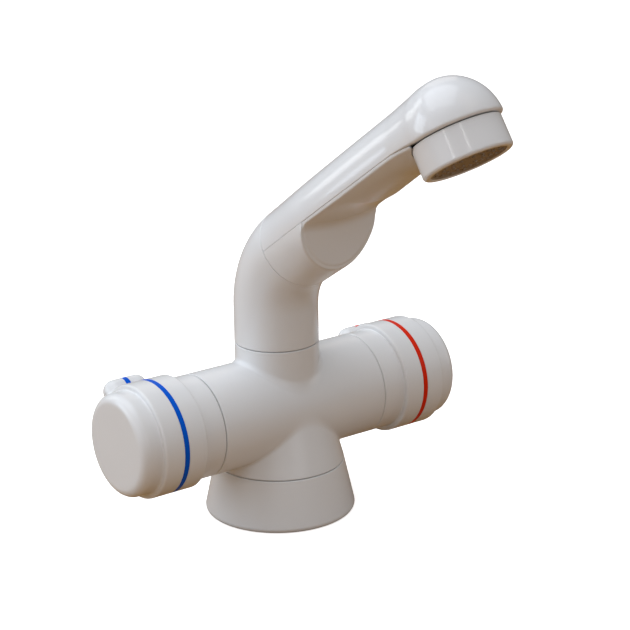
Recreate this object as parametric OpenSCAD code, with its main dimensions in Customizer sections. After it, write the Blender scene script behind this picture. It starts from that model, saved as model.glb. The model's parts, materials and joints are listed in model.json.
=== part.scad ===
// Two-knob deck mixer tap with a swivelling spout and a pull-out spray handset.
// Millimetres. Origin on the worktop face at the centre of the shank.
// X runs along the body towards the hot knob, -Y is the front, Z is up.

/* [Base and body] */
// Largest radius of the base flange, near the worktop
base_r = 30; // [26:0.5:34]
// Height of the base flange, from the worktop to its seam
base_h = 20.8; // [15:0.1:28]
// Radius of the cone at the base seam
seam_r = 25.9; // [22:0.1:27]
// Narrowing of the cone for each millimetre of height
cone_taper = 0.275; // [0.1:0.005:0.4]
// Rounding at the foot of the base flange
foot_round = 2.6; // [1:0.1:4]
// Radius of the horizontal valve barrel
barrel_r = 20.3; // [18:0.1:23]
// Height of the barrel axis over the worktop
barrel_z = 43.4; // [38:0.1:50]
// Half length of the barrel, from the middle to a knob seam
barrel_half = 38.2; // [34:0.1:44]
// Height of the neck seam, where the spout starts
neck_z = 70.2; // [66:0.1:78]

/* [Knobs] */
// Radius of the raised grip band
band_r = 22.3; // [21:0.1:25]
// Distance from the seam to the start of the grip band
band_start = 9.9; // [7:0.1:13]
// Distance from the seam to the middle of the coloured ring
ring_mid = 19.4; // [15:0.1:23]
// Width of the coloured ring
ring_w = 2.1; // [1.2:0.1:4]
// Distance from the seam to the end of the grip band
band_end = 28.8; // [24:0.1:32]
// Distance from the seam to the flat end of the knob
knob_len = 37.3; // [32:0.1:44]
// Radius of the knob's end section
end_r = 20.2; // [18:0.1:22]
// Rounding of the knob's end edge
end_round = 3.8; // [2:0.1:6]
// How far the thumb lug stands over the knob axis
lug_top = 29.4; // [26:0.1:32]
// Half width of the thumb lug
lug_r = 4.4; // [3:0.1:6]
// Angle of the cold knob's thumb lug, up from the back
cold_lug_angle = 33; // [0:1:90]
// Angle of the hot knob's thumb lug, up from the back
hot_lug_angle = 24; // [0:1:90]

/* [Spout] */
// Outer radius of the spout tube
tube_r = 16.6; // [15:0.1:19]
// Height at which the tube starts to bend
bend_z = 84.9; // [78:0.1:92]
// Radius of the bend on the tube's centre line
bend_r = 32.1; // [28:0.1:42]
// Rise of the handset axis over the horizontal
rise_angle = 36.5; // [20:0.1:50]
// Swing of the spout from the front towards the hot side
swing_angle = 5.9; // [-90:0.1:90]
// Wall of the spout tube
tube_wall = 3; // [2:0.1:4]

/* [Handset] */
// Distance from the dock seam to the middle of the spray head
reach = 102.3; // [90:0.1:120]
// Drop of the head's rim under the handset axis
head_drop = 2.6; // [0:0.1:6]
// Tilt of the spray axis back from square to the handset
head_tilt = 4.2; // [0:0.1:12]
// Radius of the head's domed cap
dome_r = 18.2; // [16:0.1:19]
// Height of the head's domed cap over its rim
dome_h = 19.6; // [16:0.1:22]
// Length of the spray ring under the groove
ring_len = 12.4; // [9:0.1:16]
// Outer radius of the spray ring at its mouth
mouth_r = 16.9; // [15:0.1:18.5]
// Inner radius of the spray ring at its mouth
face_r = 14.2; // [12:0.1:15.5]
// Height of the parting line over the handset axis, at the dock
part_h = 1.5; // [0:0.1:3]
// Slope of the parting line, down towards the head, in degrees
part_slope = 1; // [0:0.1:2]
// Widening of the lower sleeve for each millimetre from the dock seam
sleeve_flare = 0.085; // [0:0.005:0.15]
// Lean of the sleeve's sides, outwards from the parting line
sleeve_lean = 0.45; // [0.2:0.05:1]
// Distance from the dock seam to the sleeve's cut end
sleeve_len = 30; // [24:0.1:36]
// Depth of the handle's underside below the axis
keel_depth = 5.4; // [3:0.1:8]
// Radius of the handle's flattened underside, across
keel_arc = 31.5; // [22:0.5:40]
// Number of nozzles in the outer row of the spray plate
nozzles = 16; // [8:1:20]

/* [Fixing under the worktop] */
// Radius of the shank that stands in the tap hole
shank_r = 17; // [15.8:0.1:17.4]
// Worktop thickness that the shank leaves room for
deck_gap = 30; // [20:1:45]
// Length of the shank under the worktop face
shank_len = 62; // [50:1:90]
// Radius of the two inlet tails
tail_r = 4; // [3:0.1:5]
// Length of the inlet tails under the worktop face
tail_len = 118; // [80:1:160]

/* [Hidden] */

white = [0.93, 0.94, 0.95];
brass = [0.78, 0.62, 0.32];
steel = [0.7, 0.71, 0.73];
rubber = [0.1, 0.1, 0.11];
grey = [0.35, 0.36, 0.38];

seam_gap = 0.3;          // gap at a seam between two moving pieces
push_gap = 0.1;          // clearance of a piece seated in its own body
run_gap = 0.05;          // radial clearance of a running fit
edge = 0.4;              // chamfer along a seam
through = 1;             // how far a cutting tool stands out of what it cuts
foot_taper = (base_r - seam_r) / (base_h - foot_round);
turn = 90 - rise_angle;
dock_u = bend_r * (1 - cos(turn));
dock_w = bend_z + bend_r * sin(turn);

// Valves in the barrel, set back from its ends
gland_len = 4.7;         // threaded length of a gland nut
chamber_r = 12.4;        // bore that holds a valve cartridge
bush_r = 14.3;           // bore that holds the swivel bush, in the middle of the barrel
chamber_in = bush_r + 2.2;
valve_len = barrel_half - gland_len - chamber_in;
valve_end = 1.5;         // inner end wall of a cartridge
valve_top = 2.5;         // outer end wall of a cartridge
valve_r = 9.3;           // cavity of a cartridge
disc_r = 8.9;            // valve disc at the foot of a spindle
disc_t = 3.7;
stem_r = 5;
square_w = 7;            // square drive at the end of a spindle
square_in = 11;          // start of the square, from the knob's seam
square_len = 7;
hub_r = 8.6;             // hub inside a knob
hub_end = 20;            // outer end of the hub, where its screw's head sits
screw_r = 1.8;
knob_t = 2.6;            // wall of the knob shells

// Water ways and seats in the body
way_r = 9.5;             // vertical passage for the pull-out hose
spigot_r = 13.2;         // running radius of the elbow's spigot
guide_z = 46;            // seat of the hose guide
guide_deep = 5.6;        // how far the guide reaches below its seat
bush_z = guide_z + 4;    // lower end of the swivel bush
clip_z = bush_z - 1.8;   // retaining ring under the bush
seal_z = neck_z - 7.2;   // lower side of the groove for the swivel seal
throat_r = 10.8;         // hose passage through the spigot
throat_z = neck_z + 1.8; // top of the spigot's narrow passage
gallery_y = 13.9;        // mixed water gallery behind the hose passage
gallery_r = 2.4;
port_r = 2.2;            // drillings from a tail to its valve
port_z = 23.5;
port_x = chamber_in + 0.7;
tail_x = 9.6;            // inlet tails, to each side of the middle
tail_y = 4.6;
tail_free = 30;          // free end of an inlet tail, sized for a fitting
out_y = 10.6;            // mixed outlet tail, at the back
out_r = 3.6;
out_free = 20;
out_len = shank_len + 22;
pipe_t = 1;              // wall of a tail
pipe_step = 0.4;         // the rest of a tail is this much thinner than its free end
socket_z = 10;           // lower end of the drillings for the tails
socket_end = 22;         // upper end of the tails
hose_y = -5;             // middle of the hose passage in the shank
hose_r = 7;

// Shank and clamp
shank_in = 15.1;         // bore of the shank
collar_r = shank_in + 0.85;  // the shank above the worktop
collar_top = 19.5;
foot_seat = 1.6;         // recess for the gasket under the flange
skirt_z = 12;            // lower end of the body's skirt round the shank
thread_r = shank_r - 0.3;    // threaded stretch of the shank
clamp_gap = 0.3;         // clearance of the clamp round the shank
seal_t = 2.5;            // clamp seal
plate_t = 2;             // clamp plate
nut_t = 8;               // back nut
nut_r = 23;

// Dock and handset
bore_r = tube_r - tube_wall;
dock_deep = 9;           // depth of the socket in the elbow's mouth
liner_t = 3.2;           // wall of the liner in that socket
liner_r = bore_r - liner_t;
shell_t = 2.4;           // wall of the handset shells
shell_r = tube_r - shell_t;
face_gap = 0.15;         // half the gap at the dock seam
plug_len = 12;           // part of the dock spigot that fills the handset's end
nose_len = 3.5;
seal_at = -6.2;          // groove for the dock's O-ring
groove = 0.9;            // dark groove under the dome
pipe_low = 1.2;          // underside of the water pipe, over the handset axis
pipe_r = (shell_r - 1 - pipe_low) / 2;
pipe_y = pipe_low + pipe_r;
pipe_in = pipe_r - 1.6;
pipe_z = 22;             // start of the water pipe, from the dock seam
nipple_r = 4.6;          // nipple for the pull-out hose
nipple_len = 6;
nipple_z = -13;
nut_way_r = 6;           // shoulder of the nipple, in the dock spigot
ring_x0 = ring_mid - ring_w / 2;
ring_x1 = ring_mid + ring_w / 2;

module along_x(x) {
  translate([x, 0, barrel_z])
    rotate([0, 90, 0])
      children();
}

// A knob's pieces are drawn for the hot side, from the seam outwards along +Z of a lathe
// frame, and mirrored for the cold side.
module knob_side(hot) {
  mirror([hot ? 0 : 1, 0, 0])
    along_x(barrel_half)
      rotate([0, 0, 90])
        children();
}

module spout_frame() {
  rotate([0, 0, swing_angle])
    children();
}

// Handset frame: +Z along the handle from the dock seam to the head, +Y to its top.
module handset_frame() {
  spout_frame()
    translate([0, -dock_u, dock_w])
      rotate([turn, 0, 0])
        children();
}

// Head frame: +Z out of the top of the dome, origin in the middle of the dark groove.
module head_frame() {
  translate([0, -head_drop, reach])
    rotate([head_tilt - 90, 0, 0])
      children();
}

function arc(cx, cy, r, a0, a1, n) =
  [for (i = [0:n]) let (a = a0 + (a1 - a0) * i / n) [cx + r * cos(a), cy + r * sin(a)]];

function oval(rx, ry, a0, a1, n) =
  [for (i = [0:n]) let (a = a0 + (a1 - a0) * i / n) [rx * cos(a), ry * sin(a)]];

module tube(r_out, r_in, h) {
  difference() {
    cylinder(r = r_out, h = h, $fn = 96);
    translate([0, 0, -1])
      cylinder(r = r_in, h = h + 2, $fn = 96);
  }
}

// Base and body

module base_flange() {
  foot_in = seam_r - 2.2;
  color(white)
    difference() {
      rotate_extrude($fn = 128)
        polygon(concat(
          [[foot_in, 0], [base_r - foot_round + 0.2, 0]],
          arc(base_r - foot_round, foot_round, foot_round, -60, -5, 6),
          [[seam_r + 0.25, base_h - 0.5], [seam_r - 0.1, base_h - 0.1], [shank_r + 1, base_h - 0.1],
           [shank_r + 1, skirt_z], [foot_in, skirt_z - 3]]
        ));
      translate([0, 0, -through])
        cylinder(r = seam_r + push_gap, h = foot_seat + through, $fn = 96);
    }
}

module base_gasket() {
  color(rubber)
    tube(seam_r, shank_r + 1.5, foot_seat - 0.05);
}

module mixer_body() {
  cone_h = barrel_z - base_h;
  neck_h = neck_z - barrel_z;
  color(white)
    difference() {
      union() {
        rotate_extrude($fn = 128)
          polygon([[0, base_h], [seam_r - edge, base_h], [seam_r - cone_taper * edge, base_h + edge],
            [seam_r - cone_taper * cone_h, base_h + cone_h], [0, base_h + cone_h]]);
        along_x(-barrel_half)
          rotate_extrude($fn = 128)
            polygon([[0, 0], [barrel_r - edge, 0], [barrel_r, edge],
              [barrel_r, 2 * barrel_half - edge], [barrel_r - edge, 2 * barrel_half],
              [0, 2 * barrel_half]]);
        translate([0, 0, barrel_z])
          rotate_extrude($fn = 128)
            polygon([[0, 0], [tube_r, 0], [tube_r, neck_h - edge], [tube_r - edge, neck_h],
              [0, neck_h]]);
        translate([0, 0, skirt_z])
          cylinder(r = shank_r + 0.9, h = base_h - skirt_z + through, $fn = 96);
      }
      for (s = [0, 1])
        mirror([s, 0, 0])
          along_x(chamber_in)
            cylinder(r = chamber_r, h = barrel_half, $fn = 96);
      translate([0, 0, guide_z])
        cylinder(r = bush_r, h = neck_z, $fn = 96);
      translate([0, 0, guide_z - guide_deep - 0.4])
        cylinder(r = way_r, h = 2 * guide_deep, $fn = 96);
      translate([0, hose_y + 1.8, base_h - 0.8])
        cylinder(r = hose_r, h = guide_z - base_h, $fn = 64);
      translate([0, 0, skirt_z - 8])
        cylinder(r = collar_r + run_gap, h = collar_top + 0.5 - skirt_z + 8, $fn = 96);
      along_x(-chamber_in - 3.5)
        translate([0, gallery_y, 0])
          cylinder(r = gallery_r, h = 2 * chamber_in + 7, $fn = 32);
      translate([0, out_y, socket_z])
        cylinder(r = out_r - pipe_step + push_gap, h = 18, $fn = 48);
      translate([0, gallery_y - 0.4, socket_end + 3])
        cylinder(r = gallery_r - 0.3, h = barrel_z - socket_end - 2.4, $fn = 32);
      for (s = [-1, 1]) {
        translate([s * tail_x, tail_y, socket_z])
          cylinder(r = tail_r - pipe_step + push_gap, h = 16, $fn = 48);
        translate([s * port_x, tail_y, port_z])
          cylinder(r = port_r, h = 14, $fn = 32);
        translate([s * tail_x, tail_y, port_z])
          rotate([0, s * 90, 0])
            cylinder(r = port_r, h = port_x - tail_x + 0.4, $fn = 32);
      }
    }
}

module bush() {
  color(grey)
    translate([0, 0, bush_z])
      tube(bush_r - 0.02, spigot_r + run_gap, neck_z - bush_z - 0.2);
}

module hose_guide() {
  color(grey)
    translate([0, 0, guide_z])
      difference() {
        union() {
          translate([0, 0, -guide_deep])
            cylinder(r = way_r - push_gap, h = guide_deep, $fn = 96);
          cylinder(r = way_r + 2.6, h = 1.1, $fn = 96);
        }
        translate([0, 0, -guide_deep - through])
          cylinder(r = hose_r, h = 2 * guide_deep, $fn = 64);
      }
}

module cartridge(hot) {
  color(brass)
    mirror([hot ? 0 : 1, 0, 0])
      along_x(chamber_in)
        difference() {
          cylinder(r = chamber_r - push_gap, h = valve_len, $fn = 96);
          translate([0, 0, valve_end])
            cylinder(r = valve_r, h = valve_len - valve_end - valve_top, $fn = 96);
          translate([0, 0, valve_len / 2])
            cylinder(r = stem_r + run_gap, h = valve_len, $fn = 64);
          translate([0, 0, -through])
            cylinder(r = 3, h = valve_end + 2 * through, $fn = 48);
          for (k = [0:3])
            rotate([0, 0, 45 + 90 * k])
              translate([6, 0, valve_len / 2 - 0.5])
                rotate([0, 90, 0])
                  cylinder(r = 2, h = 8, $fn = 32);
        }
}

module gland_nut(hot) {
  hex_in = 3;
  hex_len = 7.6;
  color(brass)
    mirror([hot ? 0 : 1, 0, 0])
      along_x(barrel_half - gland_len)
        difference() {
          union() {
            cylinder(r = chamber_r - push_gap, h = gland_len, $fn = 96);
            translate([0, 0, hex_in])
              cylinder(r = 9.8, h = hex_len, $fn = 6);
          }
          translate([0, 0, -through])
            cylinder(r = stem_r + edge, h = hex_in + hex_len + 2 * through, $fn = 64);
        }
}

// Fixing under the worktop

module deck_shank() {
  color(steel)
    rotate_extrude($fn = 128)
      polygon([[shank_in, collar_top], [shank_in, -shank_len], [shank_r - 1, -shank_len],
        [thread_r, -shank_len + 0.7], [thread_r, -deck_gap], [shank_r, -deck_gap],
        [shank_r, 0], [collar_r, 0], [collar_r, collar_top]]);
}

module clamp_seal() {
  color(rubber)
    translate([0, 0, -deck_gap - 0.5 - seal_t])
      tube(shank_r + 8.5, shank_r + clamp_gap, seal_t);
}

module clamp_plate() {
  color(steel)
    translate([0, 0, -deck_gap - 0.5 - seal_t - plate_t])
      tube(shank_r + 9.5, shank_r + clamp_gap, plate_t);
}

module back_nut() {
  rim_t = 1.5;
  color(brass)
    translate([0, 0, -deck_gap - 0.5 - seal_t - plate_t - nut_t - 1])
      difference() {
        union() {
          cylinder(r = nut_r, h = nut_t, $fn = 6);
          translate([0, 0, nut_t + 1 - rim_t])
            cylinder(r = nut_r - 2, h = rim_t, $fn = 96);
        }
        translate([0, 0, -through])
          cylinder(r = thread_r + push_gap, h = nut_t + rim_t + 2 * through, $fn = 96);
      }
}

// A copper pipe whose free end is sized for a fitting, and the rest a little thinner.
module pipe(r, free, low, high) {
  color(brass)
    translate([0, 0, low])
      difference() {
        union() {
          cylinder(r = r, h = free, $fn = 64);
          cylinder(r = r - pipe_step, h = high - low, $fn = 64);
        }
        translate([0, 0, -through])
          cylinder(r = r - pipe_t, h = high - low + 2 * through, $fn = 64);
      }
}

module inlet_tail(side) {
  translate([side * tail_x, tail_y, 0])
    pipe(tail_r, tail_free, -tail_len, socket_end);
}

module mixed_outlet_tail() {
  translate([0, out_y, 0])
    pipe(out_r, out_free, -out_len, socket_end);
}

// Knobs

// The slice of the thumb lug from x0 to x1 along the knob.
module lug(hot, x0, x1) {
  half = (band_end - band_start - 0.4) / 2 - lug_r;
  low = band_r - 3;
  high = lug_top - lug_r;
  intersection() {
    rotate([0, 0, hot ? hot_lug_angle : cold_lug_angle])
      translate([0, 0, (band_start + band_end) / 2])
        rotate([0, 90, 0]) {
          for (s = [-1, 1]) {
            translate([s * half, 0, high])
              sphere(r = lug_r, $fn = 48);
            translate([s * half, 0, low])
              cylinder(r = lug_r, h = high - low, $fn = 48);
          }
          translate([-half, 0, high])
            rotate([0, 90, 0])
              cylinder(r = lug_r, h = 2 * half, $fn = 48);
          translate([-half, -lug_r, low])
            cube([2 * half, 2 * lug_r, high - low]);
        }
    translate([-50, -50, x0])
      cube([100, 100, x1 - x0]);
  }
}

module knob_collar(hot) {
  web_z = square_in + edge;
  color(white)
    knob_side(hot)
      difference() {
        union() {
          rotate_extrude($fn = 128)
            polygon(concat(
              [[barrel_r - 3, seam_gap], [barrel_r - 0.4, seam_gap], [barrel_r, seam_gap + 0.4],
               [barrel_r, band_start - 1.4], [barrel_r + 0.3, band_start - 0.7]],
              arc(band_r - 1.1, band_start + 1.1, 1.1, -80, 0, 6),
              [[band_r, ring_x0 - 0.1], [band_r - 0.1, ring_x0], [band_r - knob_t - 0.6, ring_x0],
               [band_r - knob_t - 0.6, web_z + knob_t], [hub_r, web_z + knob_t], [hub_r, hub_end],
               [0, hub_end], [0, web_z], [barrel_r - 3, web_z]]
            ));
          lug(hot, band_start, ring_x0);
        }
        translate([0, 0, square_in - through])
          linear_extrude(height = square_len + 2 * through)
            square(square_w + 2 * push_gap, center = true);
        translate([0, 0, square_in + square_len])
          cylinder(r = screw_r + 0.5, h = hub_end - square_in - square_len + through, $fn = 32);
      }
}

module index_ring(hot, c) {
  color(c)
    knob_side(hot)
      difference() {
        union() {
          translate([0, 0, ring_x0])
            cylinder(r = band_r, h = ring_w, $fn = 128);
          lug(hot, ring_x0, ring_x1);
        }
        cylinder(r = band_r - knob_t, h = ring_x1 + through, $fn = 96);
      }
}

module knob_cap(hot) {
  lip_r = band_r - knob_t - 0.7;
  color(white)
    knob_side(hot)
      union() {
        rotate_extrude($fn = 128)
          polygon(concat(
            [[lip_r - 1.3, ring_x0 - 1.8], [lip_r, ring_x0 - 1.8],
             [lip_r, ring_x0], [band_r - knob_t - push_gap, ring_x0],
             [band_r - knob_t - push_gap, ring_x1], [band_r - 0.1, ring_x1],
             [band_r, ring_x1 + 0.1]],
            arc(band_r - 1.0, band_end - 1.0, 1.0, 0, 75, 6),
            [[end_r + 0.5, band_end - 0.1], [end_r, band_end + 0.7]],
            arc(end_r - end_round, knob_len - end_round, end_round, 0, 88, 12),
            [[end_r - end_round - 0.8, knob_len - 0.1], [end_r / 2, knob_len - 0.4],
             [0, knob_len - 0.5], [0, knob_len - 0.6 - knob_t], [end_r - 5, knob_len - 0.6 - knob_t],
             [end_r - knob_t, knob_len - 6], [end_r - knob_t, ring_x1 + 2],
             [lip_r - 1.3, ring_x1]]
          ));
        lug(hot, ring_x1, band_end);
      }
}

// A spindle's foot lies in the cavity of its cartridge, which stops short of the barrel's end.
module spindle(hot) {
  cavity_out = -gland_len - valve_top;
  foot = cavity_out - 2.7 - disc_t;
  color(steel)
    knob_side(hot)
      difference() {
        union() {
          translate([0, 0, foot + disc_t - 0.1])
            cylinder(r = stem_r, h = square_in + 0.3 - foot - disc_t, $fn = 64);
          translate([0, 0, foot])
            cylinder(r = disc_r, h = disc_t, $fn = 96);
          translate([0, 0, foot - 2.4])
            rotate_extrude(angle = 150, $fn = 96)
              square([disc_r - 0.3, 2.6]);
          translate([0, 0, square_in])
            linear_extrude(height = square_len)
              square(square_w, center = true);
        }
        translate([0, 0, square_in - 5])
          cylinder(r = screw_r + push_gap, h = square_len + 5 + through, $fn = 32);
      }
}

module knob_screw(hot) {
  head_t = 2.6;
  color(steel)
    knob_side(hot)
      difference() {
        union() {
          translate([0, 0, square_in - 4])
            cylinder(r = screw_r, h = hub_end + 0.5 - square_in + 4, $fn = 32);
          translate([0, 0, hub_end + run_gap])
            cylinder(r = 2 * screw_r, h = head_t, $fn = 48);
        }
        translate([0, 0, hub_end + head_t / 2])
          cylinder(r = 1.6, h = head_t, $fn = 6);
      }
}

// Spout

// A quarter of the bend, or less, swept round the tube's centre line.
module bend(r) {
  translate([0, -bend_r, bend_z])
    rotate([90, 0, 90])
      rotate_extrude(angle = turn, $fn = 128)
        translate([bend_r, 0])
          circle(r = r, $fn = 96);
}

module swivel_elbow() {
  low = neck_z + seam_gap;
  spigot_z = bush_z + 0.6;
  color(white)
    difference() {
      union() {
        spout_frame() {
          translate([0, 0, low])
            cylinder(r1 = tube_r - edge, r2 = tube_r, h = edge, $fn = 96);
          translate([0, 0, low + edge])
            cylinder(r = tube_r, h = bend_z - low - edge, $fn = 96);
          bend(tube_r);
          translate([0, 0, spigot_z])
            cylinder(r = spigot_r, h = neck_z + 2.6 - spigot_z, $fn = 96);
          translate([0, 0, clip_z - 0.8])
            cylinder(r = spigot_r - 1.2, h = 4, $fn = 96);
        }
      }
      spout_frame() {
        translate([0, 0, clip_z - 9])
          cylinder(r = throat_r, h = throat_z - clip_z + 10, $fn = 96);
        translate([0, 0, throat_z])
          cylinder(r1 = throat_r, r2 = bore_r, h = 4, $fn = 96);
        translate([0, 0, throat_z + 3.9])
          cylinder(r = bore_r, h = bend_z - throat_z - 3.9, $fn = 96);
        bend(bore_r);
        translate([0, 0, seal_z])
          tube(spigot_r + through, spigot_r - 1.4, 2);
      }
      handset_frame()
        translate([0, 0, -dock_deep])
          cylinder(r = bore_r + 0.2, h = dock_deep + 5, $fn = 96);
    }
}

module swivel_seal() {
  color(rubber)
    spout_frame()
      translate([0, 0, seal_z + push_gap])
        tube(spigot_r - 0.05, spigot_r - 1.35, 1.8);
}

// It snaps round the narrow end of the spigot, under the bush.
module retaining_ring() {
  slot_w = 5;
  color(steel)
    spout_frame()
      translate([0, 0, clip_z])
        difference() {
          tube(bush_r - edge, spigot_r - 1.15, 1.2);
          translate([-slot_w / 2, 0, -through])
            cube([slot_w, 20, 4]);
        }
}

module dock_liner() {
  color(grey)
    handset_frame()
      translate([0, 0, -dock_deep])
        difference() {
          tube(bore_r + push_gap, liner_r, dock_deep - edge);
          for (k = [0:2])
            rotate([0, 0, 30 + 120 * k])
              translate([-1.5, liner_r - 2, 5.6])
                cube([3, liner_t, 6]);
        }
}

// Handset

// Space above the parting line, in the handset frame.
module over_parting(g) {
  translate([0, part_h + g, 0])
    rotate([part_slope, 0, 0])
      translate([-2 * tube_r, 0, -tube_r])
        cube([4 * tube_r, 4 * tube_r, 2 * reach]);
}

module dome_solid(grow) {
  head_frame()
    rotate_extrude($fn = 128)
      polygon(concat(
        [[0, 0]],
        [[dome_r - 0.5 + grow, 0], [dome_r + grow, 0.6]],
        oval(dome_r + grow, dome_h + grow, 6, 90, 22)
      ));
}

module handset_upper_shell() {
  color(white)
    handset_frame()
      difference() {
        union() {
          intersection() {
            translate([0, 0, face_gap])
              cylinder(r = tube_r, h = reach - face_gap, $fn = 128);
            over_parting(run_gap);
          }
          dome_solid(0);
        }
        translate([0, 0, -through])
          cylinder(r = shell_r, h = reach - 4, $fn = 96);
        dome_solid(-shell_t - 0.6);
        head_frame()
          translate([0, 0, -2 * tube_r])
            cylinder(r = 1.8 * tube_r, h = 2 * tube_r, $fn = 64);
      }
}

// The handle's shallow underside, an arc across that meets the tube at its sides.
module keel_round(inset, start, length) {
  translate([0, 0, start])
    intersection() {
      cylinder(r = tube_r - inset, h = length, $fn = 128);
      translate([0, keel_arc - keel_depth, 0])
        cylinder(r = keel_arc - inset, h = length, $fn = 256);
    }
}

// The sleeve at the dock: it widens from the dock seam, its sides lean out from the parting
// line, and its end is cut upright in the spout's frame.
module sleeve() {
  face_u = dock_u + sleeve_len * cos(rise_angle);
  size = 4 * tube_r;
  length = 2 * sleeve_len;
  intersection() {
    handset_frame()
      translate([0, 0, face_gap])
        cylinder(r1 = tube_r, r2 = tube_r + sleeve_flare * length, h = length, $fn = 128);
    handset_frame()
      linear_extrude(height = length)
        polygon([[-tube_r, part_h], [-tube_r - sleeve_lean * size, part_h - size],
          [tube_r + sleeve_lean * size, part_h - size], [tube_r, part_h]]);
    spout_frame()
      translate([-size / 2, -face_u, dock_w - size / 2])
        cube([size, face_u, 2 * size]);
  }
}

module handset_lower_shell() {
  ramp_h = -2.2;
  ramp_angle = 9;
  size = 4 * tube_r;
  color(white)
    difference() {
      union() {
        sleeve();
        handset_frame()
          difference() {
            keel_round(0, face_gap, reach);
            translate([0, ramp_h, sleeve_len - 2])
              rotate([ramp_angle, 0, 0])
                translate([-size / 2, -size, -20])
                  cube([size, size, 60]);
          }
      }
      handset_frame() {
        over_parting(-run_gap);
        translate([0, 0, -through])
          cylinder(r = shell_r, h = sleeve_len - 14 + through, $fn = 96);
        translate([0, 0, sleeve_len - 15])
          intersection() {
            cylinder(r = shell_r, h = reach, $fn = 96);
            translate([-size / 2, pipe_low / 2, 0])
              cube([size, size, 2 * reach]);
          }
        keel_round(shell_t, sleeve_len + 22, reach - sleeve_len - 46);
        head_frame()
          translate([0, 0, -3 * tube_r])
            cylinder(r = mouth_r + 0.35, h = 6 * tube_r, $fn = 128);
        head_frame()
          translate([0, 0, -push_gap])
            cylinder(r = dome_r + push_gap, h = 2 * tube_r, $fn = 128);
        translate([-size / 2, -size / 2, reach])
          cube([size, size, size]);
      }
    }
}

module rim_gasket() {
  color(rubber)
    handset_frame()
      head_frame()
        translate([0, 0, -groove])
          tube(dome_r - 1.1, dome_r - 10.2, groove);
}

module spray_ring() {
  hub = face_r - 1.8;
  color(white)
    handset_frame()
      head_frame()
        rotate_extrude($fn = 128)
          polygon(concat(
            [[hub, -groove], [mouth_r - 0.6, -groove], [mouth_r - 0.2, -groove - 0.4]],
            arc(mouth_r - 1.2, -ring_len + 1.2, 1.2, 0, -90, 6),
            arc(face_r + 0.6, -ring_len + 0.6, 0.6, -90, -180, 4),
            [[face_r, -ring_len + 4.4], [hub, -ring_len + 4.4]]
          ));
}

// Nozzle rows, from the outside in: radius of the row and number of nozzles.
module each_nozzle() {
  for (row = [[face_r - 2, nozzles], [face_r - 5, 12], [face_r - 8.2, 8]])
    for (k = [0:row[1] - 1])
      rotate([0, 0, 360 * (k + 0.5) / row[1]])
        translate([row[0], 0, 0])
          children();
}

module spray_plate() {
  recess = 1.8;
  plate = 2.6;
  hub = face_r - 1.9;
  color(grey)
    handset_frame()
      head_frame()
        translate([0, 0, -ring_len + recess])
          difference() {
            union() {
              cylinder(r = face_r - run_gap, h = plate, $fn = 128);
              cylinder(r = hub, h = ring_len - recess - 1, $fn = 96);
              each_nozzle()
                translate([0, 0, -0.9])
                  cylinder(r1 = 0.65, r2 = 0.9, h = 1, $fn = 16);
            }
            translate([0, 0, plate])
              cylinder(r = hub - 1.7, h = ring_len, $fn = 96);
            each_nozzle()
              translate([0, 0, -2])
                cylinder(r = 0.35, h = plate, $fn = 16);
          }
}

module water_way() {
  color(grey)
    handset_frame()
      translate([0, pipe_y, pipe_z])
        tube(pipe_r, pipe_in, reach - pipe_z - 8);
}

module dock_spigot() {
  plug_r = shell_r - push_gap;
  nose_r = plug_r - 2.1;
  lead = 1.5;
  color(grey)
    handset_frame()
      difference() {
        union() {
          translate([0, 0, -plug_len - lead])
            cylinder(r1 = liner_r - 1, r2 = liner_r - 0.3, h = lead, $fn = 96);
          translate([0, 0, -plug_len])
            cylinder(r = liner_r - 0.3, h = plug_len + 0.1, $fn = 96);
          translate([0, 0, 0.1])
            cylinder(r = plug_r, h = plug_len, $fn = 96);
          translate([0, 0, plug_len])
            cylinder(r = nose_r, h = nose_len, $fn = 96);
          translate([0, pipe_y, plug_len])
            cylinder(r = pipe_in - push_gap, h = pipe_z + 6 - plug_len, $fn = 64);
        }
        translate([0, 0, -plug_len - 8])
          cylinder(r = nut_way_r + push_gap, h = 2 * plug_len + 8, $fn = 64);
        translate([0, pipe_y, plug_len - 4])
          cylinder(r = pipe_in - 1.2, h = pipe_z + 12, $fn = 64);
        translate([0, 0, seal_at])
          tube(liner_r + through, liner_r - 1.7, 1.8);
      }
}

module dock_seal() {
  color(rubber)
    handset_frame()
      translate([0, 0, seal_at + push_gap])
        tube(liner_r - 0.3, liner_r - 1.65, 1.6);
}

module hose_nipple() {
  color(brass)
    handset_frame()
      difference() {
        union() {
          translate([0, 0, nipple_z - nipple_len])
            cylinder(r = nipple_r, h = nipple_len, $fn = 64);
          translate([0, 0, nipple_z])
            cylinder(r = nut_way_r, h = plug_len - 5 - nipple_z, $fn = 64);
        }
        translate([0, 0, nipple_z - 2 * nipple_len])
          cylinder(r = nipple_r - 1.4, h = 4 * plug_len, $fn = 48);
      }
}

blue = [0.0, 0.30, 0.78];
red = [0.80, 0.12, 0.06];

base_flange();
base_gasket();
mixer_body();
bush();
hose_guide();
cartridge(false);  // cold_cartridge
cartridge(true);  // hot_cartridge
gland_nut(false);  // cold_gland_nut
gland_nut(true);  // hot_gland_nut
deck_shank();
clamp_seal();
clamp_plate();
back_nut();
inlet_tail(-1);  // cold_inlet_tail
inlet_tail(1);  // hot_inlet_tail
mixed_outlet_tail();
knob_collar(false);  // cold_knob_collar
index_ring(false, blue);  // cold_index_ring
knob_cap(false);  // cold_knob_cap
spindle(false);  // cold_spindle
knob_screw(false);  // cold_knob_screw
knob_collar(true);  // hot_knob_collar
index_ring(true, red);  // hot_index_ring
knob_cap(true);  // hot_knob_cap
spindle(true);  // hot_spindle
knob_screw(true);  // hot_knob_screw
swivel_elbow();
swivel_seal();
retaining_ring();
dock_liner();
handset_upper_shell();
handset_lower_shell();
rim_gasket();
spray_ring();
spray_plate();
water_way();
dock_spigot();
dock_seal();
hose_nipple();
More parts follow.
